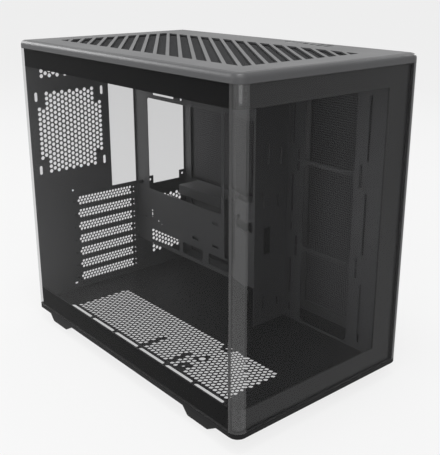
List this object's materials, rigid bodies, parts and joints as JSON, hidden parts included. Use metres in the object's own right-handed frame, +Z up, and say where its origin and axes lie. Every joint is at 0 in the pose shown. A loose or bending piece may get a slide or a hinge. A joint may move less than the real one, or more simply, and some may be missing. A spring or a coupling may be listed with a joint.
{
  "type": "computer case",
  "caption": "Black tower computer case with clear glass front and side, slatted grey top cover, honeycomb vents, a second chamber behind the tray and removable panels.",
  "frame": {"origin": "on the ground under the middle of the case", "axes": "+Z up, -Y towards the front glass, -X towards the side glass"},
  "size_m": [0.279, 0.449, 0.413],
  "materials": {
    "outer_paint": "fine satin black paint",
    "cover_paint": "satin dark grey",
    "chassis_paint": "satin black powder coat",
    "black_plastic": "matt",
    "foot_rubber": "matt",
    "screw_black": "black oxide",
    "standoff_black": "black zinc",
    "port_metal": "stamped shell",
    "button_plastic": "semi-gloss",
    "filter_mesh": "fine woven mesh",
    "smoked_glass": "smoky tempered glass",
    "border_black": "gloss black border"
  },
  "bodies": {
    "chassis": {"base_frame": "outer_paint", "foot_front_left": "black_plastic", "foot_front_right": "black_plastic", "foot_rear_left": "black_plastic", "foot_rear_right": "black_plastic", "foot_pads": "foot_rubber", "floor_panel": "chassis_paint", "rear_panel": "chassis_paint", "slot_screws": "screw_black", "motherboard_tray": "chassis_paint", "tray_front_strip": "chassis_paint", "tray_lower_rail": "chassis_paint", "standoffs": "standoff_black", "step_wall": "chassis_paint", "side_fan_plate": "chassis_paint", "corner_column": "outer_paint", "side_frame": "chassis_paint", "psu_ledge": "chassis_paint", "drive_plate": "chassis_paint", "top_frame": "chassis_paint", "top_side_rail": "chassis_paint", "port_housing": "black_plastic", "usb_a_ports": "port_metal", "usb_c_port": "port_metal", "audio_jack": "black_plastic", "switches": "black_plastic", "slot_cover_1": "chassis_paint", "slot_cover_2": "chassis_paint", "slot_cover_3": "chassis_paint", "slot_cover_4": "chassis_paint", "slot_cover_5": "chassis_paint", "slot_cover_6": "chassis_paint", "slot_cover_7": "chassis_paint"},
    "top_cover": {"top_cover": "cover_paint", "top_filter": "filter_mesh", "top_cover_studs": "black_plastic"},
    "side_glass": {"side_glass": "smoked_glass", "side_glass_top_rail": "border_black", "side_glass_bottom_rail": "border_black", "side_glass_studs": "black_plastic"},
    "front_glass": {"front_glass": "smoked_glass", "front_glass_border": "border_black", "front_glass_studs": "black_plastic"},
    "right_panel": {"right_panel": "outer_paint", "right_filters": "filter_mesh", "right_panel_studs": "black_plastic"},
    "power_button": {"power_button": "button_plastic"},
    "reset_button": {"reset_button": "button_plastic"}
  },
  "joints": [
    {"name": "cover_lift", "type": "slide", "parent": "chassis", "child": "top_cover", "axis": [0, 0, 1], "range_m": [0, 0.12]},
    {"name": "side_glass_pull", "type": "slide", "parent": "chassis", "child": "side_glass", "axis": [-1, 0, 0], "range_m": [0, 0.15]},
    {"name": "front_glass_pull", "type": "slide", "parent": "chassis", "child": "front_glass", "axis": [0, -1, 0], "range_m": [0, 0.15]},
    {"name": "right_panel_pull", "type": "slide", "parent": "chassis", "child": "right_panel", "axis": [1, 0, 0], "range_m": [0, 0.15]},
    {"name": "power_press", "type": "slide", "parent": "top_cover", "child": "power_button", "axis": [0, 0, -1], "range_m": [0, 0.0012], "stiffness_N_per_m": 800},
    {"name": "reset_press", "type": "slide", "parent": "top_cover", "child": "reset_button", "axis": [0, 0, -1], "range_m": [0, 0.0012], "stiffness_N_per_m": 800}
  ]
}
